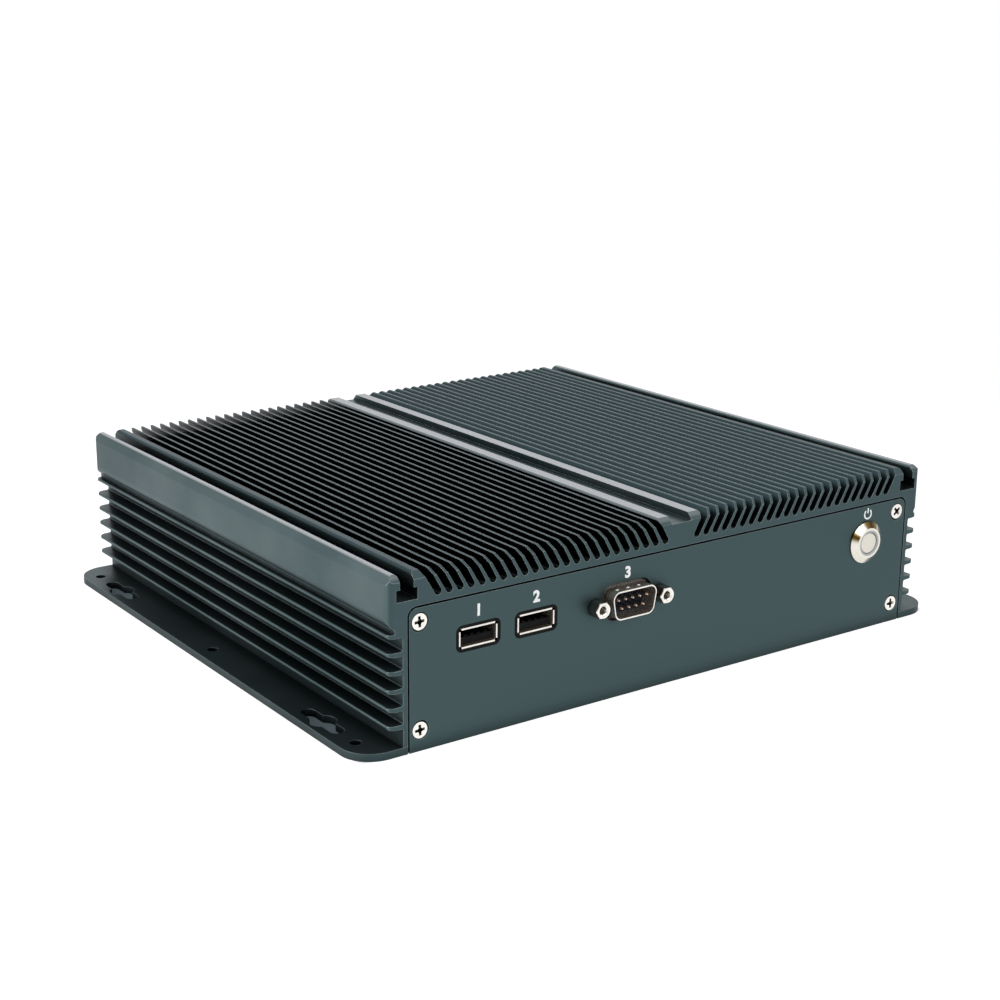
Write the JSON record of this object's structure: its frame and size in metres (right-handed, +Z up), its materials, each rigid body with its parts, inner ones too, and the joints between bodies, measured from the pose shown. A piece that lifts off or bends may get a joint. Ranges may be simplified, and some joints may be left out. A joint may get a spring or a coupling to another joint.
{
  "type": "fanless industrial computer",
  "caption": "Fanless industrial computer: finned aluminium housing on a flanged base plate, front panel with data ports, a serial port and a metal power button.",
  "frame": {"origin": "middle of the underside of the base plate, half way between the front and rear faces", "axes": "+X to the right along the front panel, +Y from the front panel to the rear, +Z up through the fins"},
  "size_m": [0.234, 0.2088, 0.054],
  "materials": {
    "anodised_aluminium": "dark grey-green satin anodising",
    "nickel_plated_steel": "bright nickel plate",
    "stainless_steel": "fine turned",
    "translucent_plastic": "frosted",
    "black_plastic": "matt",
    "navy_plastic": "matt",
    "gilded_brass": "thin gold plate",
    "circuit_board": "solder mask",
    "bare_aluminium": "milled",
    "silicone_pad": "soft",
    "lead_insulation": "flat flexible"
  },
  "bodies": {
    "computer": {"audio_sockets": "black_plastic", "base_plate": "anodised_aluminium", "base_plate_screws": "nickel_plated_steel", "board_capacitors": "bare_aluminium", "board_chips": "black_plastic", "board_headers": "black_plastic", "board_screws": "nickel_plated_steel", "coin_cell": "nickel_plated_steel", "coin_cell_holder": "black_plastic", "data_port_contacts": "gilded_brass", "data_port_inserts": "black_plastic", "data_port_shells": "nickel_plated_steel", "front_panel": "anodised_aluminium", "front_panel_screws": "nickel_plated_steel", "heat_spreader": "bare_aluminium", "heat_spreader_screws": "nickel_plated_steel", "housing": "anodised_aluminium", "main_board": "circuit_board", "memory_module": "circuit_board", "memory_socket": "black_plastic", "network_port_contacts": "gilded_brass", "network_port_inserts": "black_plastic", "network_port_shells": "nickel_plated_steel", "power_button_bezel": "stainless_steel", "power_button_lead": "lead_insulation", "power_button_light_ring": "translucent_plastic", "power_button_nut": "nickel_plated_steel", "power_button_switch": "black_plastic", "power_inlet": "black_plastic", "power_inlet_pin": "gilded_brass", "processor": "circuit_board", "rear_data_port_contacts": "gilded_brass", "rear_data_port_inserts": "black_plastic", "rear_data_port_shells": "nickel_plated_steel", "rear_panel": "anodised_aluminium", "rear_panel_screws": "nickel_plated_steel", "rear_serial_inserts": "navy_plastic", "rear_serial_jackscrews": "nickel_plated_steel", "rear_serial_pins": "gilded_brass", "rear_serial_shells": "nickel_plated_steel", "serial_port_insert": "navy_plastic", "serial_port_jackscrews": "nickel_plated_steel", "serial_port_lead": "lead_insulation", "serial_port_pins": "gilded_brass", "serial_port_shell": "nickel_plated_steel", "storage_card": "circuit_board", "storage_post": "gilded_brass", "storage_screw": "nickel_plated_steel", "storage_socket": "black_plastic", "thermal_pad": "silicone_pad", "video_port_insert": "black_plastic", "video_port_shell": "nickel_plated_steel"},
    "power_button": {"power_button_cap": "stainless_steel"}
  },
  "joints": [
    {"name": "power_button_press", "type": "slide", "parent": "computer", "child": "power_button", "axis": [0, 1, 0], "range_m": [0, 0.0015], "stiffness_N_per_m": 1500, "springref_m": -0.001}
  ]
}
